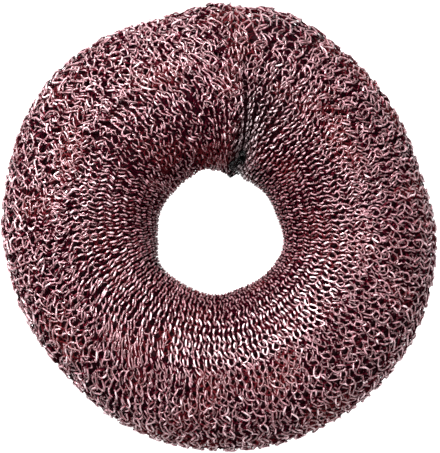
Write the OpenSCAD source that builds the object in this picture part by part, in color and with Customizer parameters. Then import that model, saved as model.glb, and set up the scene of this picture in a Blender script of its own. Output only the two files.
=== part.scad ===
// Hair donut bun maker: a ring of knitted nylon net. A roll of net is bent round into a ring and held in a
// net sleeve. The sleeve's one end, the mouth, laps over its other end, the plug, and thread stitches on the
// hole's side hold the two together.
//
// Two angles place everything. The angle round the ring goes anticlockwise from +X, seen from above. The
// angle round the tube starts at the ring's outer edge, passes the top at 90 and the hole's wall at 180.

/* [Ring] */
// Outer diameter of the ring, as a mean round its outline
ring_d = 90; // [78:1:110]
// Diameter of the hole that the hair goes through, as a mean round its outline
hole_d = 24.8; // [20:0.2:32]
// Height of the ring as it lies
ring_h = 30; // [25:0.5:36]
// Width of the flat under the ring, where the soft net settles
seat_w = 9; // [5:0.5:12]

/* [Net] */
// Thickness of one turn of the knitted net
turn_t = 0.6; // [0.4:0.05:0.8]
// Turns of net that make the sleeve's wall
sleeve_turns = 2; // [2:1:3]
// Gap left between pieces that lie in one another
lay_gap = 0.3; // [0.25:0.05:0.5]

/* [Join] */
// How far the mouth's edge slants off the straight line to the hole, in degrees round the ring
mouth_slant = 6; // [0:1:8]
// How far the plug reaches in under the mouth, in degrees round the ring
lap_deg = 18; // [12:1:24]
// Stretch over which the sleeve narrows down to the plug, in degrees round the ring
neck_deg = 20; // [16:1:30]

/* [Gathers] */
// Depth of the gathers that the join draws into the net
gather_depth = 0.8; // [0.3:0.1:1.2]
// Spacing of the gathers, in degrees round the ring
gather_pitch = 8; // [7:0.5:12]
// How far the gathers run from the join, in degrees round the ring
gather_run = 34; // [24:1:50]

/* [Thread] */
// Diameter of the thread
thread_d = 0.6; // [0.4:0.05:0.9]
// Length of each stitch across the mouth's edge
stitch_len = 3.2; // [2.6:0.1:4]
// Number of stitches up the hole's wall
stitch_count = 4; // [3:1:5]

/* [Hidden] */

net_colour = "#8d5561";
core_colour = "#3d1a25";
thread_colour = "#23222b";

// Angle round the ring where the mouth's edge crosses the top of the tube
mouth_at = 81;

// Outline of the ring seen from above, a row every 15 degrees from +X. On the last rows before the mouth's
// edge it is the outline that the sleeve would have if it did not narrow there.
// Columns: hole's radius as a share of hole_d / 2, outer radius as a share of ring_d / 2
HOLE = 0;
OUTER = 1;
outline = [
    [1.00, 0.988], [0.94, 0.954], [0.93, 0.963], [0.905, 0.980],
    [0.885, 0.998], [0.84, 1.032], [0.92, 1.017], [0.975, 0.997],
    [0.955, 1.017], [0.94, 1.033], [0.96, 1.022], [0.99, 1.000],
    [0.99, 0.993], [1.03, 0.978], [1.12, 0.974], [1.09, 0.970],
    [1.06, 0.993], [1.07, 1.008], [1.07, 1.015], [1.02, 1.022],
    [1.025, 1.023], [1.045, 1.025], [1.06, 1.019], [1.07, 1.004],
];

// Rim of the outer turn, a fold that runs round the top of the tube, a row every 30 degrees from +X.
// Columns: place off the tube's middle as a share of its half width, outward positive;
// drop from the rim to the net inside it, as a share of turn_t
PLACE = 0;
DROP = 1;
rim = [
    [-0.08, 0.3], [0.02, 0.2], [0.12, 0.4], [0.18, 1.3],
    [0.17, 1.4], [0.15, 1.4], [0.08, 1.3], [0.04, 0.9],
    [0.00, 0.3], [-0.08, 0.3], [-0.17, 0.7], [-0.16, 0.6],
];

// Dents that go through the whole wall.
// Columns: angle round the ring, angle round the tube, depth as a share of the tube's mean half width,
// reach round the ring in degrees, reach round the tube in degrees
dents = [
    [mouth_at - 8, 145, 0.13, 11, 42],
    [mouth_at - 7, 82, 0.07, 10, 75],
    [40, 60, 0.025, 30, 50],
    [200, 100, 0.02, 24, 50],
];

// How much of the tube the rim's fall and the gathers take up, in degrees round the tube
rim_reach = 75;
rim_edge = 2;
gather_from = 20;
gather_to = 175;

// Steps of the mesh round the ring, in the lap, the plain stretch and the neck
lap_steps = 6;
plain_steps = 52;
neck_steps = 10;
// Steps round the tube, on the hole's side, across the flat and on the outer side
hole_steps = 12;
seat_steps = 2;
outer_steps = 13;
core_sides = 16;
core_steps = 46;
thread_sides = 6;
thread_fineness = 3;

wall = turn_t * sleeve_turns;
lap_shrink = wall + lay_gap;
tube_half = (ring_d - hole_d) / 4;
core_inset = wall + lay_gap;
plug_end = 360 + mouth_at + lap_deg;
plain_from = mouth_at + lap_deg;
neck_to = 360 + mouth_at;
neck_from = neck_to - neck_deg;
fade_deg = neck_deg;

// A value that falls from 1 to 0 as x goes from 0 to 1 or -1, with no corner
function bell(x) = abs(x) >= 1 ? 0 : pow(cos(90 * x), 2);

// A value that rises from 0 to 1 as x goes from 0 to 1, with no corner
function rise(x) = 1 - bell(min(1, max(0, x)));

// An angle brought to 0 to 360
function turned(a) = a - 360 * floor(a / 360);

// The shortest way from one angle to another
function apart(a, b) = turned(a - b + 180) - 180;

// A column of a table whose rows are evenly spaced round the ring, drawn as a smooth closed curve
function round_curve(table, col, a) =
    let (n = len(table), t = turned(a) * n / 360, i = floor(t), f = t - i,
        before = table[(i + n - 1) % n][col], here = table[i % n][col],
        next = table[(i + 1) % n][col], after = table[(i + 2) % n][col])
    here + f / 2 * (next - before + f * (2 * before - 5 * here + 4 * next - after
        + f * (3 * (here - next) + after - before)));

function hole_r(a) = hole_d / 2 * round_curve(outline, HOLE, a);
function outer_r(a) = ring_d / 2 * round_curve(outline, OUTER, a);
function mid_r(a) = (outer_r(a) + hole_r(a)) / 2;
function half_w(a) = (outer_r(a) - hole_r(a)) / 2;

// Half of the flat's width as an angle round the tube, and the tube's half height above and below its middle
function seat_half(a) = asin(seat_w / 2 / half_w(a));
function half_h(a) = ring_h / (1 + cos(seat_half(a)));

// Angle round the tube at which the rim lies
function rim_at(a) = acos(round_curve(rim, PLACE, a));

// Depth of the dents at a place, which both faces of the wall and the core follow
function dent_depth(a, p) =
    [for (d = dents) d[2] * tube_half * bell(apart(a, d[0]) / d[3]) * bell(apart(p, d[1]) / d[4])]
    * [for (d = dents) 1];

// Depth of the net under the rim's edge on the side of the hole, on the outer face alone
function rim_depth(a, p) =
    let (past = apart(p, rim_at(a)))
    past <= 0 ? 0 : turn_t * round_curve(rim, DROP, a) * bell(past / rim_reach);

// Degrees round the ring from the mouth's edge to a place, and how deep the gathers may go there
function off_mouth(a, p) = apart(a, mouth_at + mouth_slant * cos(p));
function gather_share(a, p) =
    let (off = off_mouth(a, p),
        along = off > 0 ? bell(off / lap_deg) / 2 : bell(off / gather_run),
        about = bell(2 * (p - gather_from) / (gather_to - gather_from) - 1))
    along * sqrt(about);

// Depth of the gathers, which both faces of the wall follow
function gather_cut(a, p) =
    gather_depth * gather_share(a, p) * (1 - cos(360 * off_mouth(a, p) / gather_pitch)) / 2;

// Angles round the tube of one ring of the sleeve's points, from just inside the rim, over the hole's wall,
// the flat and the outer side, back to just outside the rim
function tube_angles(a) =
    let (inside = rim_at(a) + rim_edge, outside = 360 + rim_at(a) - rim_edge,
        seat_from = 270 - seat_half(a), seat_to = 270 + seat_half(a))
    concat(
        [for (i = [0 : hole_steps - 1]) inside + (seat_from - inside) * i / hole_steps],
        [for (i = [0 : seat_steps - 1]) seat_from + (seat_to - seat_from) * i / seat_steps],
        [for (i = [0 : outer_steps]) seat_to + (outside - seat_to) * i / outer_steps]
    );

// A point of the tube, inset by a depth below its full outline
function tube_point(a, p, inset) =
    let (r = mid_r(a) + (half_w(a) - inset) * cos(p),
        z = half_h(a) * cos(seat_half(a)) + (half_h(a) - inset) * sin(p))
    [r * cos(a), r * sin(a), max(z, inset)];

// The sleeve's own way round, s, starts at the mouth and goes on past a full turn to the plug's end.
// How far the slant of the mouth's edge is felt at s
function slant_share(s) = 1 - rise((s - plain_from) / fade_deg) + rise((s - neck_from) / neck_deg);

// The true angle round the ring of a point at s and p
function ring_angle(s, p) = s + mouth_slant * slant_share(s) * cos(p);

// The s at which the sleeve has an angle round the ring at p, found by closing in on it
function station_at(a, p, tries = 5) =
    tries == 0 ? a : a - mouth_slant * slant_share(station_at(a, p, tries - 1)) * cos(p);

// How far the sleeve is drawn in at s
function shrink(s) = lap_shrink * rise((s - neck_from) / neck_deg);

// A point of the sleeve's outer face and one of its inner face
function outer_point(s, p) =
    let (a = ring_angle(s, p), q = turned(p))
    tube_point(a, p, shrink(s) + dent_depth(a, q) + gather_cut(a, q) + rim_depth(a, q));
function inner_point(s, p) =
    let (a = ring_angle(s, p), q = turned(p))
    tube_point(a, p, shrink(s) + dent_depth(a, q) + gather_cut(a, q) + wall);

// A point of the core, which lies in the sleeve with a gap
function core_point(s, p) =
    let (a = ring_angle(s, p))
    tube_point(a, p, shrink(s) + dent_depth(a, p) + gather_depth * gather_share(a, p) + core_inset);

sleeve_stations = concat(
    [for (i = [0 : lap_steps - 1]) mouth_at + lap_deg * i / lap_steps],
    [for (i = [0 : plain_steps - 1]) plain_from + (neck_from - plain_from) * i / plain_steps],
    [for (i = [0 : neck_steps - 1]) neck_from + neck_deg * i / neck_steps],
    [for (i = [0 : lap_steps]) neck_to + lap_deg * i / lap_steps]
);
outer_rings = [for (s = sleeve_stations) [for (p = tube_angles(s)) outer_point(s, p)]];
inner_rings = [for (s = sleeve_stations) [for (p = tube_angles(s)) inner_point(s, p)]];

// The outline's middle, which is brought to the origin
sleeve_xs = [for (ring = outer_rings) for (v = ring) v[0]];
sleeve_ys = [for (ring = outer_rings) for (v = ring) v[1]];
middle = [(min(sleeve_xs) + max(sleeve_xs)) / 2, (min(sleeve_ys) + max(sleeve_ys)) / 2, 0];

// Quads between two rings of m points that start at points i and j
function band(i, j, m) = [for (k = [0 : m - 1]) [i + k, i + (k + 1) % m, j + (k + 1) % m, j + k]];

// A closed tube of net: an outer and an inner face, joined at both open ends
module tube_wall(outer, inner) {
    n = len(outer);
    m = len(outer[0]);
    points = concat([for (ring = outer) each ring], [for (ring = inner) each ring]);
    skin = [for (i = [0 : n - 2]) each band(i * m, (i + 1) * m, m)];
    lining = [for (i = [0 : n - 2]) each band((n + i + 1) * m, (n + i) * m, m)];
    ends = concat(band(n * m, 0, m), band((n - 1) * m, (2 * n - 1) * m, m));
    polyhedron(points, concat(skin, lining, ends), convexity = 8);
}

// A closed solid swept through rings of points, with flat caps
module sweep(rings) {
    n = len(rings);
    m = len(rings[0]);
    sides = [for (i = [0 : n - 2]) each band(i * m, (i + 1) * m, m)];
    caps = [[for (k = [m - 1 : -1 : 0]) k], [for (k = [0 : m - 1]) (n - 1) * m + k]];
    polyhedron([for (ring = rings) each ring], concat(sides, caps), convexity = 8);
}

// The knitted sleeve, all round the ring, with its plug under its mouth
module net_sleeve() {
    color(net_colour)
    translate(-middle)
    tube_wall(outer_rings, inner_rings);
}

// The roll of net inside the sleeve, from the plug's end to just short of its own start
core_from = plain_from + lay_gap * 360 / (PI * (ring_d + hole_d) / 2) + mouth_slant / 4;
core_to = plug_end - lap_deg / 4;
module rolled_core() {
    rings = [for (i = [0 : core_steps])
        let (s = core_from + (core_to - core_from) * i / core_steps)
        [for (k = [0 : core_sides - 1]) core_point(s, 360 * k / core_sides)]];
    color(core_colour)
    translate(-middle)
    sweep(rings);
}

// Stitches over the mouth's edge, up the hole's wall. Each goes from the sleeve over the edge to the neck,
// lifted by corner_room more than the gap to clear the edge itself.
stitch_low = 228;
stitch_high = 134;
corner_room = 0.15;
thread_lift = thread_d / 2 + lay_gap + corner_room;

// A point above the sleeve, at an angle round the tube and a way off the mouth's edge, sleeve side positive
function over_join(p, off) =
    let (edge = ring_angle(mouth_at, p),
        r = mid_r(edge) + half_w(edge) * cos(p),
        a = edge + off * 180 / PI / r,
        down = off < 0 ? shrink(station_at(360 + a, p)) : 0)
    tube_point(a, p, dent_depth(a, p) + down - thread_lift);

// The thread's points: four to a stitch, and one that ends the last stitch
thread_route = [for (i = [0 : 4 * stitch_count])
    let (p = stitch_low + (stitch_high - stitch_low) * i / (4 * stitch_count))
    over_join(p, stitch_len / 2 * cos(90 * i))];

// A smooth curve through a list of points, at a place between two of them
function through(route, t) =
    let (last = len(route) - 1, i = max(0, min(last - 1, floor(t))), f = t - i,
        before = route[max(0, i - 1)], here = route[i], next = route[i + 1], after = route[min(last, i + 2)])
    here + f / 2 * (next - before + f * (2 * before - 5 * here + 4 * next - after
        + f * (3 * (here - next) + after - before)));

function unit(v) = v / norm(v);

// The way out of the tube at a place, from the tube's own middle line
function outward(v) =
    let (a = atan2(v[1], v[0]))
    unit(v - [mid_r(a) * cos(a), mid_r(a) * sin(a), ring_h / 2]);

// A ring of points round a route, square to it
function thread_ring(route, t) =
    let (ahead = unit(through(route, t + 0.05) - through(route, t - 0.05)),
        side = unit(cross(ahead, outward(through(route, t)))),
        up = cross(side, ahead),
        turn = 360 / thread_sides)
    [for (k = [0 : thread_sides - 1])
        through(route, t) + thread_d / 2 * (cos(turn * k) * side + sin(turn * k) * up)];

module tie_thread() {
    n = 4 * stitch_count * thread_fineness;
    color(thread_colour)
    translate(-middle)
    sweep([for (i = [0 : n]) thread_ring(thread_route, i / thread_fineness)]);
}

net_sleeve();
rolled_core();
tie_thread();
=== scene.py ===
"""Looks of a hair donut: a ring of knitted nylon net, rolled up and joined, lying flat under soft light.

The net is knitted here as real strands, as a single-bar warp knit: each yarn runs round the tube, and makes
its loops on two needles by turns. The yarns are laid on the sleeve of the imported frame, turn below turn, down
to the dark heart of the roll.
"""
import math

import bmesh
import bpy
import numpy as np
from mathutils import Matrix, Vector
from mathutils.bvhtree import BVHTree


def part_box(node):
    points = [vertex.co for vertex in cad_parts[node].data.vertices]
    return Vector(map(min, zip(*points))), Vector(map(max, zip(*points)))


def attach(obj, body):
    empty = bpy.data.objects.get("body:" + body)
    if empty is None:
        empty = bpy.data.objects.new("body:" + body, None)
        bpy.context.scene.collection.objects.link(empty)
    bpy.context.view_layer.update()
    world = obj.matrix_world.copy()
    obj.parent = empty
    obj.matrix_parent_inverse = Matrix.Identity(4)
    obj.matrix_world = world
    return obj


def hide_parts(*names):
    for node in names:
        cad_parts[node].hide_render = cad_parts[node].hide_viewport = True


bl_info = {
    "name": "Knitted Hair Donut",
    "version": (1, 0, 0),
    "blender": (4, 5, 0),
    "location": "View3D > Sidebar > Hair Donut",
    "description": "Knits a hair donut of nylon net over its packed frame and lights it",
    "category": "Object",
}

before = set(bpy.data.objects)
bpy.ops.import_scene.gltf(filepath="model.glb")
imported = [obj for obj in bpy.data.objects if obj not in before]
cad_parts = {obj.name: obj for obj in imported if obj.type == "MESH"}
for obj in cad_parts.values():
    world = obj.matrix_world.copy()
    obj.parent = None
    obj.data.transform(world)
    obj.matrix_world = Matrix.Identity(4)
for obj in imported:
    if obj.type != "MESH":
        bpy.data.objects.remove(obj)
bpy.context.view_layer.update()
BODY = "root"
SLEEVE, CORE, THREAD = "net_sleeve", "rolled_core", "tie_thread"
MM = 0.001

# The sleeve's rim, a row every 30 degrees round the ring from +X: the angle round the tube at which it lies
RIM_AT = [95, 89, 83, 80, 80, 81, 85, 88, 90, 95, 100, 99]

# How far the roll pulls the net askew, outer edge against hole, in wales, a row every 30 degrees of the ring
PULL = [-0.1, -0.5, -0.7, 0.0, 0.2, 0.1, 0.6, 1.6, 1.6, 0.6, 0.0, 0.0]

# How much taller than elsewhere the stitches on top are, or shorter, a row every 30 degrees round the ring
TALLER = [-0.05, -0.08, -0.12, 0.0, 0.0, 0.0, 0.0, 0.1, 0.1, 0.0, 0.0, 0.0]

# Height of a course of stitches, a row every 30 degrees round the tube from the ring's outer edge, in degrees
COURSE_DEG = [8.5, 8.0, 7.2, 6.6, 6.6, 6.8, 7.5, 9.5, 10.8, 11.2, 10.8, 9.6]

# The tables' step, and the angle round the tube at which the rim lies on the whole
TABLE_DEG = 30
RIM_DEG = 88

# The photograph's height in pixels, and what a pixel of it spans
PICTURE_H = 453
PIXEL = 0.2039 * MM


def linear(hex_colour):
    """An sRGB hex colour as linear RGBA."""
    channels = [int(hex_colour[i:i + 2], 16) / 255 for i in (1, 3, 5)]
    return [c / 12.92 if c <= 0.04045 else ((c + 0.055) / 1.055) ** 2.4 for c in channels] + [1.0]


def add_node(tree, kind, settings=None, inputs=None, links=None):
    """A node with its settings, socket values and incoming links, each link a socket of another node."""
    node = tree.nodes.new(kind)
    for key, value in (settings or {}).items():
        setattr(node, key, value)
    for key, value in (inputs or {}).items():
        node.inputs[key].default_value = value
    for key, socket in (links or {}).items():
        tree.links.new(socket, node.inputs[key])
    return node


def new_material(name):
    """An empty material and its principled shader, joined to the output."""
    material = bpy.data.materials.new(name)
    material.use_nodes = True
    tree = material.node_tree
    tree.nodes.clear()
    shader = add_node(tree, "ShaderNodeBsdfPrincipled")
    add_node(tree, "ShaderNodeOutputMaterial", links={"Surface": shader.outputs["BSDF"]})
    return material, tree, shader


def taps(x, count, closed):
    """The four samples about each place x on a row of them, and their weights on a smooth curve."""
    i = np.floor(x).astype(int)
    f = x - i
    near = np.stack([i - 1, i, i + 1, i + 2])
    near = near % count if closed else np.clip(near, 0, count - 1)
    inner = [2 - 5 * f**2 + 3 * f**3, f + 4 * f**2 - 3 * f**3]
    weights = np.stack([-f + 2 * f**2 - f**3, *inner, f**3 - f**2]) / 2
    return near, weights


def smooth_row(samples, x, closed=True):
    """Values at places x of a smooth curve through evenly spaced samples."""
    near, weights = taps(np.asarray(x, float), len(samples), closed)
    return (np.asarray(samples, float)[near] * weights).sum(axis=0)


def rise(x):
    """0 below 0, 1 above 1, and a smooth climb between."""
    x = np.clip(x, 0, 1)
    return x * x * (3 - 2 * x)


class Sleeve:
    """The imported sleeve's outer face, as a distance from the tube's middle line, for nets to be laid on.

    s is the way round the ring in degrees. It starts at the mouth's edge, and goes on past a full turn to the
    plug's end. p is the angle round the tube: 0 at the ring's outer edge, 90 on top and 180 at the hole.
    """

    # Steps of the grid along s and p, and of the middle line, in degrees
    s_step, p_step, a_step = 3.0, 5.0, 3.0
    # How far a ray looks for the net, and how far from the join its slant has faded out
    far = 0.022
    fade_deg = 20.0
    # The join lies in this stretch of the ring, and the plug starts this far past the mouth's edge
    join_deg = (50, 130)
    plug_deg = 300

    def __init__(self):
        shell = bmesh.new()
        shell.from_mesh(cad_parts[SLEEVE].data)
        self.tree = BVHTree.FromBMesh(shell)
        shell.free()
        low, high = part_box(SLEEVE)
        self.mid_z = (low[2] + high[2]) / 2
        self.mids = self.middle_line()
        edges = [self.mouth_edge(p) for p in (0, 180)]
        self.mouth_at = (edges[0][0] + edges[1][0]) / 2
        self.slant = (edges[0][0] - edges[1][0]) / 2
        self.lap_deg = edges[0][1] - edges[0][0]
        self.s_from, self.s_to = self.mouth_at, self.mouth_at + 360 + self.lap_deg
        self.reach = self.face()

    def hits(self, origin, way, far):
        """Distances at which a ray meets the sleeve."""
        found, start = [], 0.0
        while start < far:
            place, _, _, gone = self.tree.ray_cast(origin + way * start, way, far - start)
            if place is None:
                break
            start += gone + 1e-5
            found.append(start)
        return found

    def middle_line(self):
        """Radius of the tube's middle line round the ring, halfway from the hole's wall to the outer edge."""
        mids = []
        for a in np.arange(0, 360, self.a_step):
            out = Vector((math.cos(math.radians(a)), math.sin(math.radians(a)), 0))
            found = self.hits(Vector((0, 0, self.mid_z)), out, 1.0)
            mids.append((found[0] + found[-1]) / 2)
        return mids

    def ray(self, a, p):
        """Where a ray from the tube's middle line starts, and which way it goes."""
        radial = Vector((math.cos(math.radians(a)), math.sin(math.radians(a)), 0))
        mid = float(smooth_row(self.mids, a / self.a_step))
        origin = radial * mid + Vector((0, 0, self.mid_z))
        return origin, radial * math.cos(math.radians(p)) + Vector((0, 0, math.sin(math.radians(p))))

    def mouth_edge(self, p):
        """Angles round the ring at which the lap of mouth over plug starts and ends."""
        angles = np.arange(*self.join_deg, 0.25)
        lapped = [a for a in angles if len(self.hits(*self.ray(a, p), self.far)) > 3]
        return lapped[0], lapped[-1]

    def ring_angle(self, s, p):
        """The true angle round the ring of a place on the sleeve: the join's slant fades out either side."""
        near = 1 - rise((s - self.mouth_at - self.lap_deg) / self.fade_deg)
        near = near + rise((s - self.mouth_at - 360 + self.fade_deg) / self.fade_deg)
        return s + self.slant * near * np.cos(np.radians(p))

    def face(self):
        """Distance from the middle line to the outer face, on a grid of s and p.

        Where the mouth laps over the plug, a ray meets the plug's two faces before the mouth's.
        """
        rows = []
        for s in np.arange(self.s_from, self.s_to + self.s_step, self.s_step):
            row = []
            for p in np.arange(0, 360, self.p_step):
                a = float(self.ring_angle(max(s, self.s_from + 0.4), p))
                found = self.hits(*self.ray(a, p), self.far)
                row.append(found[1] if s > self.s_from + self.plug_deg else found[-1])
            rows.append(row)
        return np.array(rows)

    def place(self, s, p, depth):
        """Points at s and p, at a depth below the outer face, as an array of rows of three."""
        a = self.ring_angle(s, p)
        near_s, weight_s = taps((s - self.s_from) / self.s_step, len(self.reach), False)
        near_p, weight_p = taps(p / self.p_step, self.reach.shape[1], True)
        reach = -depth
        for i in range(4):
            for j in range(4):
                reach = reach + self.reach[near_s[i], near_p[j]] * weight_s[i] * weight_p[j]
        mid = smooth_row(self.mids, a / self.a_step)
        radius = mid + reach * np.cos(np.radians(p))
        return np.column_stack([
            radius * np.cos(np.radians(a)),
            radius * np.sin(np.radians(a)),
            self.mid_z + reach * np.sin(np.radians(p)),
        ])


def course_starts(degrees):
    """Angles from the rim at which courses start, down the roll, by the height table."""
    fine = np.arange(0, degrees + 1, 1.0)
    heights = smooth_row(COURSE_DEG, (float(np.mean(RIM_AT)) - fine) / TABLE_DEG)
    courses = np.concatenate([[0], np.cumsum(1 / heights[:-1])])
    return np.interp(np.arange(0, courses[-1]), courses, fine)


def curve_through(points, count):
    """Points along a smooth curve through given ones, so many between each pair."""
    x = np.arange((len(points) - 1) * count + 1) / count
    near, weights = taps(x, len(points), False)
    return sum(points[near[i]] * weights[i][:, None] for i in range(4))


def yarn_object(name, yarns, thickness, materials):
    """A mesh of yarns, each through its own rows of points, with the marks that the materials read.

    The first material is for strands in the light, and the second for strands in the shade. A strand is drawn
    a little thinner the less light it gets.
    """
    curve = bpy.data.curves.new(name, "CURVE")
    curve.dimensions = "3D"
    curve.bevel_depth = thickness / 2
    curve.bevel_resolution = 0
    curve.use_fill_caps = True
    for points, painted_light, _ in yarns:
        spline = curve.splines.new("POLY")
        spline.points.add(len(points) - 1)
        spline.points.foreach_set("radius", 0.8 + 0.35 * np.minimum(painted_light, 0.9))
        spline.points.foreach_set("co", np.column_stack([points, np.ones(len(points))]).ravel())
    drawn = bpy.data.objects.new(name + "_line", curve)
    bpy.context.scene.collection.objects.link(drawn)
    mesh = bpy.data.meshes.new_from_object(drawn.evaluated_get(bpy.context.evaluated_depsgraph_get()))
    bpy.data.objects.remove(drawn)
    bpy.data.curves.remove(curve)
    mesh.name = name
    mesh.polygons.foreach_set("use_smooth", np.ones(len(mesh.polygons), bool))
    # The caps' corners come first, eight to a yarn, and then each point's ring of four
    # Both marks are painted light and shade: how lit each strand is, and the shade where the join pinches the
    # net
    for mark, column in (("painted_join_shade", 2), ("painted_light", 1)):
        values = np.concatenate([np.zeros(8 * len(yarns)), *(np.repeat(yarn[column], 4) for yarn in yarns)])
        mesh.attributes.new(mark, "FLOAT", "POINT").data.foreach_set("value", values)
    in_light = values > 0.25
    mesh.materials.clear()
    for material in materials:
        mesh.materials.append(material)
    corners = np.empty(len(mesh.loops), int)
    mesh.loops.foreach_get("vertex_index", corners)
    firsts = np.empty(len(mesh.polygons), int)
    mesh.polygons.foreach_get("loop_start", firsts)
    mesh.polygons.foreach_set("material_index", np.where(in_light[corners[firsts]], 0, 1))
    # Each cap is joined to its tube
    tubes = bmesh.new()
    tubes.from_mesh(mesh)
    bmesh.ops.remove_doubles(tubes, verts=[v for v in tubes.verts if v.is_boundary], dist=1e-7)
    tubes.to_mesh(mesh)
    tubes.free()
    piece = bpy.data.objects.new(name, mesh)
    bpy.context.scene.collection.objects.link(piece)
    return piece


class Net:
    """The knitted net: where its stitches lie on the sleeve, and how each yarn runs through them.

    x counts wales round the ring, v counts courses from the rim down the roll. Every yarn makes a loop on one
    needle, crosses behind to the next one, makes a loop there and comes back: so stitches lean left and right
    by turns and leave six-sided meshes.
    """

    def __init__(self, sleeve, sizes, seed):
        self.sleeve, self.sizes = sleeve, sizes
        self.wale = 360 / sizes.wales
        self.across = int((sleeve.s_to - sleeve.s_from) / self.wale)
        self.starts = course_starts(360 * sizes.turns)
        low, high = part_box(SLEEVE)
        self.mid = float(np.mean(sleeve.mids))
        self.tube = (high[0] - low[0]) / 2 - self.mid
        self.chance = np.random.default_rng(seed)
        self.stray = self.chance.normal(0, sizes.uneven, (2, self.across + 3, len(self.starts) + 3))
        self.waves = self.chance.uniform(-1, 1, (2, 6, 3))

    def offset(self, v):
        """Angle from the rim down the roll to course v."""
        return np.interp(v, np.arange(len(self.starts)), self.starts)

    def inward(self, v):
        """How far course v faces the hole: 1 on the hole's wall, 0 on top and below, -1 at the outer edge."""
        return -np.cos(np.radians(RIM_DEG - self.offset(v)))

    def busy(self, x, v):
        """How crowded the net is: 1 where the join gathers it, and 0 in the hole's wall across the ring."""
        wales = self.sizes.wales
        calm = rise(1.5 * self.inward(v) + 0.3)
        at_mouth = 1 - rise((x + 14 * calm - wales * 0.36) / 4)
        at_plug = (0.8 - 0.4 * calm) * rise((x - wales * 0.83) / 6)
        return np.maximum(at_mouth + at_plug, 0.3 * (1 - calm))

    def strayed(self, x, v):
        """Places of stitches with their unevenness: neighbours that hold each other move together."""
        spots = [x, v]
        for k in range(2):
            i = np.clip(np.floor(x).astype(int), 0, self.across + 1)
            j = np.clip(np.floor(v).astype(int), 0, len(self.starts) + 1)
            fi, fj = np.clip(x - i, 0, 1), np.clip(v - j, 0, 1)
            grid = self.stray[k]
            push = (grid[i, j] * (1 - fi) + grid[i + 1, j] * fi) * (1 - fj)
            push = push + (grid[i, j + 1] * (1 - fi) + grid[i + 1, j + 1] * fi) * fj
            for a, b, c in self.waves[k]:
                push = push + self.sizes.drift * np.sin(0.7 * a * x + 0.5 * b * v + 6.3 * c)
            spots[k] = spots[k] + push * (0.5 + 0.5 * self.busy(x, v))
        return spots

    def laid(self, x, v, lift):
        """Points on the sleeve at x and v, each lifted by a share of the net's thickness."""
        sizes = self.sizes
        x, v = self.strayed(x, v)
        offset = self.offset(v)
        # At the rim each turn dips below the one before
        turn = sum(rise((offset - 360 * n + 10) / 20) for n in range(1, int(sizes.turns) + 1))
        s = self.sleeve.s_from + (x + sizes.turn_shift * turn) * self.wale
        taller = np.degrees(smooth_row(TALLER, s / TABLE_DEG)) * np.sin(np.radians(offset))
        p = smooth_row(RIM_AT, s / TABLE_DEG) - offset - taller
        s = s + smooth_row(PULL, s / TABLE_DEG) * np.cos(np.radians(p)) * self.wale
        s = np.clip(s, self.sleeve.s_from + 0.2, self.sleeve.s_to - 0.2)
        depth = sizes.filament / 2 + sizes.loop_depth * (1 - lift) + sizes.turn_gap * turn + self.eased(s, p)
        points = self.sleeve.place(s, p, depth)
        points[:, 2] = np.maximum(points[:, 2], sizes.filament / 2)
        return points

    def eased(self, s, p):
        """How deep the net lies below the sleeve's face: less than nothing, since it bulges at the join.

        At the ring's outer edge the plug stands out more than the mouth, so that both meet in one outline.
        """
        mouth_bulge, plug_bulge, fade = 0.5, 1.2, 22
        past = s - self.sleeve.s_from
        left = self.sleeve.s_to - self.sleeve.lap_deg - s
        at_mouth = 1 - rise(past / fade)
        at_plug = (1 - rise((left - 2) / fade)) * rise(left / 2 + 1)
        outward = rise(np.cos(np.radians(p)) * 1.6)
        return -(mouth_bulge * at_mouth + plug_bulge * at_plug) * outward * MM

    def wale_width(self, v):
        """Width of a wale at course v, in metres."""
        angle = math.radians(RIM_DEG - float(self.offset(v)))
        return math.radians(self.wale) * (self.mid + self.tube * math.cos(angle))

    def after(self, i, share, wales):
        """0 up to a share of the way round the ring, and from there a climb to 1 within so many wales."""
        return float(rise((i - self.sizes.wales * share) / wales))

    def gathered(self, i):
        """How far the sewn join draws wale i together at the plug's end: 0 elsewhere."""
        return self.after(i, 0.87, 5)

    def hooded(self, i):
        """How far wale i lies in the last quarter of the ring before the plug's end, where the net is painted
        in shade.
        """
        return self.after(i, 0.72, 6)

    def light(self, i, j, outer, opened):
        """How much light the stitch of yarn i in course j catches, painted into its colour: 1 for all, 0 for a
        strand in the dark.
        """
        gathered, hooded = self.gathered(i), self.hooded(i)
        folded = self.after(i, 0.2, 8) - self.after(i, 0.66, 8)
        facing = self.after(i, 0.41, 5) - self.after(i, 0.69, 5)
        inward = float(self.inward(j))
        upward = math.sin(math.radians(RIM_DEG - float(self.offset(j))))
        busy = float(self.busy(i, j))
        inner = float(rise(1.5 * inward) * rise(1 + 2 * upward))
        if not outer:
            below = 0.34 + 0.08 * busy + (0.2 + 0.17 * busy) * opened
            return below * (1 - 0.5 * gathered * inner)
        # Open meshes let light past, crowded ones shade each other, and the rim's fold turns from the light
        lit = 1 - 0.12 * opened - 0.25 * (1 - opened) * busy
        lit -= 0.45 * folded * (1 - float(rise(j / 3)))
        # The hole's wall shines at the join and across from the key light, and is dimmer deep down
        band = float(rise(4 * inward + 0.2) - rise((inward - 0.5) / 0.3)) if upward > 0 else 0.0
        lit += (0.45 * gathered - 0.25 * hooded) * inner + 0.3 * facing * band - 0.12 * hooded
        lit -= 0.3 * (1 - hooded) * (1 - 0.6 * busy) * float(rise((inward - 0.55) / 0.4))
        return lit

    def stitch(self, i, j, outer):
        """One stitch of yarn i in course j, as rows of wale, course, lift and light."""
        z = self.sizes
        top = 1 + z.overlap
        side = 1 if j % 2 else -1
        gathered = self.gathered(i)
        pull = float(smooth_row(PULL, (self.sleeve.s_from + i * self.wale) / TABLE_DEG))
        on_top = 1 - float(rise(j / 2 - 0.5)) + float(rise(j / 6 - 2))
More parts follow.
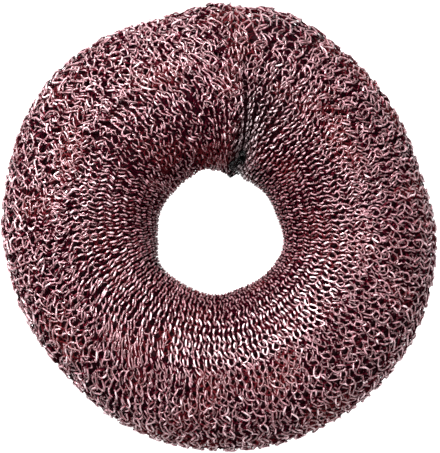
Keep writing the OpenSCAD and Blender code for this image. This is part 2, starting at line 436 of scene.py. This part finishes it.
        # Where the roll pulls the net askew, its stitches close up into ropes
        roped = max(min(abs(pull) / 1.4, 1), gathered) * (on_top if outer else 0)
        width = self.wale_width(j + 0.5)
        opened = float(rise((width / z.loop_width - 0.85) / 0.6))
        lean = z.lean * (1 - 0.8 * gathered * on_top) * (1 - 0.4 * opened) * (1 - 0.5 * roped)
        lean += z.lean * 0.4 * side * math.copysign(roped, pull)
        foot, head = 0.5 - lean, 0.5 + lean
        closed = (0.12 + 0.15 * self.hooded(i)) * float(self.busy(i, j)) * opened
        half = min(z.loop_width / width, z.widest) / 2
        half *= max(self.chance.normal(1 - 0.25 * roped - closed, 0.15), 0.4)
        sunk = self.chance.normal(0, 0.2)
        raised = max(opened, roped)
        legs = ((0.2, 0.85, 0.1 + 0.3 * raised), (0.6, 1.15, 1.0), (1.0, 0.95, 0.2 + 0.4 * raised))
        legs = [(v, foot + (head - foot) * v / top, gap * half, lift) for v, gap, lift in legs]
        loop = [(0.0, -0.45, -1.0), (foot, -0.1, 0.5 * opened - 1.0)]
        loop += [(axis + gap, v, lift) for v, axis, gap, lift in legs]
        loop.append((head, top, 1.1 * opened * (1 - 0.8 * roped) - 0.6 - sunk))
        tilt = z.tilt * (1 - 0.4 * opened)
        loop += [(axis - gap, v, lift - tilt) for v, axis, gap, lift in reversed(legs)]
        loop.append((foot - 0.12, 0.12, -0.95))
        flecks = np.repeat(self.chance.normal(0, z.flecks, len(loop) // 2), 2)
        flecks = flecks + self.light(i, j, outer, opened)
        return [(i + 0.5 + side * m, j + v, lift, fleck) for (m, v, lift), fleck in zip(loop, flecks)]

    def yarn(self, i, first, last, smoothness):
        """Points along yarn i, from one course to another, with the painted light and the painted shade of the
        join at each.
        """
        path = np.array([row for j in range(first, last) for row in self.stitch(i, j, first == 0)])
        path[:, 2] -= 0.1 * (1 - rise(i / 3))
        loose = self.sizes.crimp * (0.5 + 1.3 * self.busy(path[:, 0], path[:, 1]))
        loose = loose * (1 - 0.65 * self.gathered(i))
        path[:, :3] += self.chance.normal(0, 1, (len(path), 3)) * loose[:, None] * (1, 1, 6)
        path = curve_through(path, smoothness) if smoothness > 1 else path
        points = self.laid(path[:, 0], path[:, 1], path[:, 2])
        # Painted light of each point: the stitch's light, with painted shade where the loop dips under the
        # others
        return points, rise(path[:, 2] + 0.1) * path[:, 3], self.painted_join_shade(points)

    def painted_join_shade(self, points):
        """Painted shade where the sewn join pinches the net: how far each point's colour is darkened, as little
        light gets in.
        """
        # Places in millimetres outward from the knot, and to its right
        knot = self.sleeve.place(np.array([self.sleeve.s_from]), np.array([150.0]), 0.0)[0, :2]
        out = knot / np.hypot(*knot)
        along = (points[:, :2] - knot) @ out / MM
        across = (points[:, :2] - knot) @ np.array([out[1], -out[0]]) / MM
        reach = rise(along / 3 + 2) * (0.85 - 0.75 * rise((along - 6) / 14))
        width = np.where(across > 0, 3.8 + 0.35 * np.abs(along), 1.8)
        return np.exp(-(across / width) ** 2) * reach


class NetSizes(bpy.types.PropertyGroup):
    """Sizes of the knitted net."""

    filament: bpy.props.FloatProperty(
        name="Filament", description="Diameter of the nylon filament",
        default=0.36 * MM, unit="LENGTH")
    wales: bpy.props.IntProperty(
        name="Wales", description="Columns of stitches round the ring", default=72)
    turns: bpy.props.FloatProperty(
        name="Turns", description="Turns of the roll that are knitted as real yarn", default=2.6)
    turn_gap: bpy.props.FloatProperty(
        name="Turn gap", description="Distance from one turn to the next",
        default=0.36 * MM, unit="LENGTH")
    turn_shift: bpy.props.FloatProperty(
        name="Turn shift", description="How far round each turn lies from the one above, in wales",
        default=0.42)
    lean: bpy.props.FloatProperty(
        name="Lean", description="How far a stitch leans either way, in wales", default=0.28)
    loop_width: bpy.props.FloatProperty(
        name="Loop width", description="Distance between a loop's two legs",
        default=1.6 * MM, unit="LENGTH")
    widest: bpy.props.FloatProperty(
        name="Widest loop", description="The most that a loop's legs stand apart, in wales", default=0.5)
    overlap: bpy.props.FloatProperty(
        name="Overlap", description="How far a loop reaches past the next one's foot, in courses",
        default=0.25)
    tilt: bpy.props.FloatProperty(
        name="Tilt", description="How much lower a loop's second leg lies, in loop depths", default=0.35)
    crimp: bpy.props.FloatProperty(
        name="Crimp", description="How far the yarn strays from its smooth path, in wales and courses",
        default=0.04)
    loop_depth: bpy.props.FloatProperty(
        name="Loop depth", description="Half the thickness of one turn of net",
        default=0.32 * MM, unit="LENGTH")
    uneven: bpy.props.FloatProperty(
        name="Unevenness", description="How far stitches stray, in wales and courses", default=0.13)
    flecks: bpy.props.FloatProperty(
        name="Flecks", description="How unevenly the strands catch the light, as a share", default=0.13)
    stretch: bpy.props.FloatProperty(
        name="Stretch", description="How many times its knitted width the net is pulled to", default=1.08)
    drift: bpy.props.FloatProperty(
        name="Drift", description="How far whole patches of the net are pulled, in wales and courses",
        default=0.1)


class Finishes(bpy.types.PropertyGroup):
    """Colours of the net and thread, as sRGB hex values."""

    net: bpy.props.StringProperty(
        name="Net", description="Colour of the nylon filament", default="#66242f")
    net_pale: bpy.props.StringProperty(
        name="Pale net", description="Its palest strands", default="#a3747d")
    # The strands' own darkest tone, and also the colour painted on strands in the dark, as painted shade
    net_deep: bpy.props.StringProperty(
        name="Deep net", description="Its deepest strands", default="#420610")
    # Painted highlight: the pale near-white given to the best-lit strands
    painted_highlight: bpy.props.StringProperty(
        name="Taut net", description="Strands stretched until they shine", default="#e8ccd1")
    stain: bpy.props.StringProperty(
        name="Stain", description="Patches where the dye took redder", default="#561a1c")
    shade: bpy.props.StringProperty(
        name="Shade", description="The net deep in the join", default="#0a0506")
    glint: bpy.props.StringProperty(
        name="Glint", description="Tint of the light off a strand", default="#ffeaee")
    # Painted shade: the middle colour of the shaded copy of the nylon
    inner: bpy.props.StringProperty(
        name="Inner net", description="The turns below the outer one", default="#5a0f1c")
    # Painted shade: near black for the roll's depths, and the deepest colour of the shaded nylon
    core: bpy.props.StringProperty(
        name="Core", description="Colour deep in the roll", default="#190106")
    thread: bpy.props.StringProperty(
        name="Thread", description="Colour of the sewing thread", default="#0e0d0e")
    thread_deep: bpy.props.StringProperty(
        name="Deep thread", description="Between the thread's plies", default="#020202")


class ThreadSizes(bpy.types.PropertyGroup):
    """Sizes of the sewing thread."""

    thickness: bpy.props.FloatProperty(
        name="Thickness", description="Diameter of the thread", default=0.3 * MM, unit="LENGTH")
    stitch: bpy.props.FloatProperty(
        name="Stitch", description="Length of a stitch across the mouth's edge",
        default=2.8 * MM, unit="LENGTH")
    loops: bpy.props.IntProperty(
        name="Loops", description="Small loops in the knot", default=7)
    knot: bpy.props.FloatProperty(
        name="Knot", description="Width of the knot", default=3.2 * MM, unit="LENGTH")


class Studio(bpy.types.PropertyGroup):
    """The camera and the floor."""

    lens: bpy.props.FloatProperty(
        name="Lens", description="Focal length", default=200.0, unit="CAMERA")
    floor: bpy.props.FloatProperty(
        name="Floor", description="Radius of the floor", default=1.5, unit="LENGTH")
    floor_grey: bpy.props.StringProperty(
        name="Floor grey", description="Colour of the floor, as an sRGB hex value", default="#b4b4b4")


def nylon_material(name, finishes, colours, seed, ior):
    """Nylon 6 monofilament, drawn and dyed: smooth, so each strand has thin bright glints along its top.

    The strands' colours, deep, middle and pale, change in patches of 1 mm. The crimp of 0.8 mm is coarser
    than the real one, so that it shows, and the stains are 9 mm wide. Nylon's IOR is 1.53: the lit strands
    have a higher one, to shine as strongly as they do under a softbox, and those in the shade a lower one.
    """
    deep, middle, pale = colours
    material, tree, shader = new_material(name)
    place = add_node(tree, "ShaderNodeTexCoord")
    patches = add_node(tree, "ShaderNodeTexNoise", {"noise_dimensions": "4D"},
                       {"Scale": 1000.0, "Detail": 2.0, "W": seed},
                       {"Vector": place.outputs["Object"]})
    ramp = add_node(tree, "ShaderNodeValToRGB", links={"Fac": patches.outputs["Fac"]})
    ramp.color_ramp.elements[0].position = 0.45
    ramp.color_ramp.elements[0].color = linear(deep)
    ramp.color_ramp.elements[1].position = 0.57
    ramp.color_ramp.elements[1].color = linear(pale)
    ramp.color_ramp.elements.new(0.51).color = linear(middle)
    painted_light = add_node(tree, "ShaderNodeAttribute", {"attribute_name": "painted_light"})
    crimp = add_node(tree, "ShaderNodeTexNoise", inputs={"Scale": 1300.0, "Detail": 1.0},
                     links={"Vector": place.outputs["Object"]})
    bump = add_node(tree, "ShaderNodeBump", inputs={"Distance": 0.22 * MM},
                    links={"Height": crimp.outputs["Fac"]})
    tree.links.new(bump.outputs["Normal"], shader.inputs["Normal"])
    # Painted shade: strands in the dark, and the parts of loops buried under others, take the deep colour
    tint = add_node(tree, "ShaderNodeMixRGB", inputs={"Color1": linear(deep)},
                    links={"Fac": painted_light.outputs["Fac"], "Color2": ramp.outputs["Color"]})
    # Painted shade: where the join pinches the net, its colour goes to near black
    painted_join_shade = add_node(tree, "ShaderNodeAttribute", {"attribute_name": "painted_join_shade"})
    stains = add_node(tree, "ShaderNodeTexNoise", {"noise_dimensions": "4D"},
                      {"Scale": 110.0, "Detail": 2.0, "W": 8.0}, {"Vector": place.outputs["Object"]})
    spread = add_node(tree, "ShaderNodeMapRange", inputs={"From Min": 0.5, "From Max": 0.68, "To Max": 0.6},
                      links={"Value": stains.outputs["Fac"]})
    stained = add_node(tree, "ShaderNodeMixRGB", inputs={"Color2": linear(finishes.stain)},
                       links={"Fac": spread.outputs["Result"], "Color1": tint.outputs["Color"]})
    shaded = add_node(tree, "ShaderNodeMixRGB", inputs={"Color2": linear(finishes.shade)},
                      links={"Fac": painted_join_shade.outputs["Fac"], "Color1": stained.outputs["Color"]})
    # Painted highlight: the best-lit strands go pale, near white
    painted_highlight = add_node(tree, "ShaderNodeMapRange", inputs={"From Min": 0.85, "From Max": 1.15, "To Max": 0.7},
                    links={"Value": painted_light.outputs["Fac"]})
    tint = add_node(tree, "ShaderNodeMixRGB", inputs={"Color2": linear(finishes.painted_highlight)},
                    links={"Fac": painted_highlight.outputs["Result"], "Color1": shaded.outputs["Color"]})
    tree.links.new(tint.outputs["Color"], shader.inputs["Base Color"])
    dull = add_node(tree, "ShaderNodeMapRange", inputs={"To Min": 0.8, "To Max": 0.24},
                    links={"Value": painted_light.outputs["Fac"]})
    tree.links.new(dull.outputs["Result"], shader.inputs["Roughness"])
    shader.inputs["IOR"].default_value = ior
    shader.inputs["Specular Tint"].default_value = linear(finishes.glint)
    return material


def core_material(finishes):
    """The same nylon net, rolled tight: strands too deep to tell apart, seen as a dull mottle of 0.8 mm."""
    material, tree, shader = new_material("rolled_nylon_net")
    place = add_node(tree, "ShaderNodeTexCoord")
    mottle = add_node(tree, "ShaderNodeTexNoise", inputs={"Scale": 1200.0, "Detail": 3.0},
                      links={"Vector": place.outputs["Object"]})
    bump = add_node(tree, "ShaderNodeBump", inputs={"Distance": 0.4 * MM},
                    links={"Height": mottle.outputs["Fac"]})
    tree.links.new(bump.outputs["Normal"], shader.inputs["Normal"])
    # Painted shade: the roll is near black, for the dark deep inside it
    shader.inputs["Base Color"].default_value = linear(finishes.core)
    shader.inputs["Roughness"].default_value = 0.8
    shader.inputs["Specular IOR Level"].default_value = 0.1
    return material


def thread_material(finishes):
    """Spun polyester thread: near black, with grey glints where its plies, 0.3 mm long, catch the light."""
    material, tree, shader = new_material("spun_polyester_thread")
    place = add_node(tree, "ShaderNodeTexCoord")
    plies = add_node(tree, "ShaderNodeTexNoise", inputs={"Scale": 3000.0, "Detail": 1.0},
                     links={"Vector": place.outputs["Object"]})
    ramp = add_node(tree, "ShaderNodeValToRGB", links={"Fac": plies.outputs["Fac"]})
    ramp.color_ramp.elements[0].position = 0.4
    ramp.color_ramp.elements[0].color = linear(finishes.thread_deep)
    ramp.color_ramp.elements[1].position = 0.65
    ramp.color_ramp.elements[1].color = linear(finishes.thread)
    tree.links.new(ramp.outputs["Color"], shader.inputs["Base Color"])
    bump = add_node(tree, "ShaderNodeBump", inputs={"Distance": 0.15 * MM},
                    links={"Height": plies.outputs["Fac"]})
    tree.links.new(bump.outputs["Normal"], shader.inputs["Normal"])
    shader.inputs["Roughness"].default_value = 0.16
    shader.inputs["Specular IOR Level"].default_value = 0.2
    return material


def floor_material(studio):
    """Opal acrylic light table, lit from below, so nothing on it throws a shadow."""
    material, tree, shader = new_material("opal_acrylic")
    shader.inputs["Base Color"].default_value = linear(studio.floor_grey)
    shader.inputs["Roughness"].default_value = 0.9
    shader.inputs["Emission Color"].default_value = (1, 1, 1, 1)
    shader.inputs["Emission Strength"].default_value = 1.0
    return material


class HAIRDONUT_OT_net(bpy.types.Operator):
    """Knit the turns of the net that show, from the rim down the roll"""

    bl_idname = "hair_donut.net"
    bl_label = "Knitted net"

    def execute(self, context):
        sizes, finishes = context.scene.hair_donut_net, context.scene.hair_donut_finishes
        # Lit and shaded copies of one nylon: the shaded copy's darker colours and weak shine are painted shade
        lit = (finishes.net_deep, finishes.net, finishes.net_pale)
        shaded = (finishes.core, finishes.inner, finishes.net)
        nylons = (
            nylon_material("nylon_monofilament", finishes, lit, 0.0, 2.3),
            nylon_material("nylon_monofilament_shaded", finishes, shaded, 3.0, 1.05),
        )
        net = Net(Sleeve(), sizes, 7)
        ends = [int(np.searchsorted(net.starts, 360 * n)) for n in (0, 1, 2)] + [len(net.starts) - 1]
        for turn, (parts, smoothness) in enumerate((("abc", 2), ("ab", 1), ("a", 1))):
            for k, part in enumerate(parts):
                wales = range(net.across * k // len(parts), net.across * (k + 1) // len(parts))
                first, last = ends[turn], ends[turn + 1]
                yarns = [net.yarn(i, first, last + 1, smoothness) for i in wales]
                piece = yarn_object(f"net_turn_{turn + 1}{part}", yarns, sizes.filament, nylons)
                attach(piece, BODY)
                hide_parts(SLEEVE)
        return {"FINISHED"}


class HAIRDONUT_OT_rolled_core(bpy.types.Operator):
    """Model the tight roll inside the net"""

    bl_idname = "hair_donut.rolled_core"
    bl_label = "Rolled core"

    def execute(self, context):
        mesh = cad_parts[CORE].data.copy()
        mesh.name = "core_roll"
        solid = bmesh.new()
        solid.from_mesh(mesh)
        bmesh.ops.remove_doubles(solid, verts=solid.verts, dist=1e-5)
        bmesh.ops.recalc_face_normals(solid, faces=solid.faces)
        solid.normal_update()
        # Just under the last knitted turn: sunk on top and below, and a little out at the sides
        for v in solid.verts:
            sideways = math.hypot(v.normal.x, v.normal.y)
            v.co -= v.normal * (0.7 - 0.9 * sideways) * MM
        solid.to_mesh(mesh)
        solid.free()
        mesh.polygons.foreach_set("use_smooth", np.ones(len(mesh.polygons), bool))
        mesh.materials.clear()
        mesh.materials.append(core_material(context.scene.hair_donut_finishes))
        join = self.join(Sleeve())
        join.materials.append(mesh.materials[0])
        for made in (mesh, join):
            piece = bpy.data.objects.new(made.name, made)
            context.scene.collection.objects.link(piece)
            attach(piece, BODY)
            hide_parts(CORE)
        return {"FINISHED"}

    def join(self, sleeve):
        """The plug's own roll, from its neck on into the mouth, where the core's two ends meet."""
        solid = bmesh.new()
        first, last, rings = sleeve.s_to - 54, sleeve.s_to + 12, 12
        around = np.arange(0, 360, 20.0)
        # Deeper below the net on top and below than at the sides
        depth = (2 - 0.7 * np.abs(np.cos(np.radians(around)))) * MM
        for s in np.linspace(first, last, rings):
            ring = bmesh.ops.create_circle(solid, segments=len(around), radius=1)["verts"]
            for corner, place in zip(ring, sleeve.place(np.full(len(around), s), around, depth)):
                corner.co = place
            if s == first:
                bmesh.ops.contextual_create(solid, geom=ring)
            else:
                pair = (*before, *ring)
                edges = [e for v in pair for e in v.link_edges if e.other_vert(v) in pair]
                edges = [e for e in set(edges) if (e.verts[0] in ring) == (e.verts[1] in ring)]
                bmesh.ops.bridge_loops(solid, edges=edges)
            before = ring
        bmesh.ops.contextual_create(solid, geom=before)
        bmesh.ops.recalc_face_normals(solid, faces=solid.faces)
        mesh = bpy.data.meshes.new("core_join")
        solid.to_mesh(mesh)
        solid.free()
        mesh.polygons.foreach_set("use_smooth", np.ones(len(mesh.polygons), bool))
        return mesh


class HAIRDONUT_OT_tie_thread(bpy.types.Operator):
    """Sew the join with black thread, up the hole's wall to a knot of small loops at the hole's edge"""

    bl_idname = "hair_donut.tie_thread"
    bl_label = "Tie thread"

    def execute(self, context):
        sizes, finishes = context.scene.hair_donut_thread, context.scene.hair_donut_finishes
        sleeve, chance = Sleeve(), np.random.default_rng(11)
        half = sizes.stitch / 2
        per_loop = 7
        # Eight stitches up the hole's wall, and then the knot, round 158 degrees
        rows = [(half * (1 if k % 2 else -1), 228 - 9.0 * k, 0.0) for k in range(8)]
        for k in range(sizes.loops * per_loop):
            turn = 2 * math.pi * k / per_loop + chance.uniform(-0.3, 0.3)
            size = chance.uniform(0.5, 1.0) * sizes.knot / 2
            rows.append((0.2 * MM + size * math.cos(turn), 158 + 3.6 * size / MM * math.sin(turn),
                         chance.uniform(0, 0.7) * MM))
        rows = curve_through(np.array(rows), 3)
        laid = self.laid(sleeve, rows, sizes.thickness)
        polyester = thread_material(finishes)
        thread = yarn_object("sewing_thread", [laid], sizes.thickness, (polyester, polyester))
        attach(thread, BODY)
        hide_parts(THREAD)
        return {"FINISHED"}

    def laid(self, sleeve, rows, thickness):
        """The thread on the net, at distances to the right of the mouth's edge and angles round the tube."""
        hole_r, clear = 13.5 * MM, 0.05 * MM
        right, p, lift = rows.T
        turned = np.degrees(right / hole_r)
        depth = -(thickness / 2 + clear + lift)
        on_mouth = sleeve.place(sleeve.s_from + np.maximum(-turned, 0.3), p, depth)
        on_plug = sleeve.place(sleeve.s_from + 360 - np.maximum(turned, 0.3), p, depth)
        over = rise((turned + 2) / 4)[:, None]
        return on_mouth * (1 - over) + on_plug * over, np.ones(len(rows)), np.zeros(len(rows))


class HAIRDONUT_OT_studio(bpy.types.Operator):
    """Set the floor, the light and the camera"""

    bl_idname = "hair_donut.studio"
    bl_label = "Studio"

    def execute(self, context):
        studio = context.scene.hair_donut_studio
        scene = context.scene
        scene.view_settings.view_transform = "Standard"
        mesh = bpy.data.meshes.new("floor")
        ground = bmesh.new()
        bmesh.ops.create_circle(ground, cap_ends=True, segments=64, radius=studio.floor)
        ground.to_mesh(mesh)
        ground.free()
        mesh.materials.append(floor_material(studio))
        floor = bpy.data.objects.new("floor", mesh)
        scene.collection.objects.link(floor)
        world = bpy.data.worlds.new("studio")
        world.use_nodes = True
        world.node_tree.nodes["Background"].inputs["Color"].default_value = (1, 1, 1, 1)
        world.node_tree.nodes["Background"].inputs["Strength"].default_value = 0.08
        scene.world = world
        # Name, place, width and power of each lamp
        lamps = (
            ("key", (-0.29, 0.44, 0.53), 0.16, 18.6),
            ("top", (0.18, -0.24, 0.78), 0.5, 10),
        )
        for name, place, size, energy in lamps:
            light = bpy.data.lights.new(name, "AREA")
            light.energy, light.size = energy, size
            lamp = bpy.data.objects.new(name, light)
            lamp.location = place
            lamp.rotation_mode = "QUATERNION"
            lamp.rotation_quaternion = (-Vector(place)).to_track_quat("-Z", "Y")
            scene.collection.objects.link(lamp)
        shot = bpy.data.cameras.new("overhead")
        shot.lens = studio.lens
        shot.sensor_width = 36
        camera = bpy.data.objects.new("overhead", shot)
        # Straight above the ring, which lies a little off the middle of the picture
        mid_height = 15 * MM
        distance = PICTURE_H * PIXEL * shot.lens / shot.sensor_width
        camera.location = (1.0 * PIXEL, 1.5 * PIXEL, mid_height + distance)
        scene.collection.objects.link(camera)
        scene.camera = camera
        return {"FINISHED"}


class HAIRDONUT_PT_sidebar(bpy.types.Panel):
    """Lists the steps that make the donut"""

    bl_label = "Hair Donut"
    bl_idname = "HAIRDONUT_PT_sidebar"
    bl_space_type = "VIEW_3D"
    bl_region_type = "UI"
    bl_category = "Hair Donut"

    def draw(self, context):
        for step in STEPS:
            self.layout.operator(step.bl_idname)


STEPS = (HAIRDONUT_OT_net, HAIRDONUT_OT_rolled_core, HAIRDONUT_OT_tie_thread, HAIRDONUT_OT_studio)
GROUPS = {
    "hair_donut_net": NetSizes,
    "hair_donut_thread": ThreadSizes,
    "hair_donut_finishes": Finishes,
    "hair_donut_studio": Studio,
}


def register():
    for group in GROUPS.values():
        bpy.utils.register_class(group)
    for name, group in GROUPS.items():
        setattr(bpy.types.Scene, name, bpy.props.PointerProperty(type=group))
    for step in (*STEPS, HAIRDONUT_PT_sidebar):
        bpy.utils.register_class(step)


def unregister():
    for step in (*STEPS, HAIRDONUT_PT_sidebar):
        bpy.utils.unregister_class(step)
    for name, group in GROUPS.items():
        delattr(bpy.types.Scene, name)
        bpy.utils.unregister_class(group)


def main():
    register()
    bpy.ops.hair_donut.net()
    bpy.ops.hair_donut.rolled_core()
    bpy.ops.hair_donut.tie_thread()
    bpy.ops.hair_donut.studio()


if __name__ == "__main__":
    main()
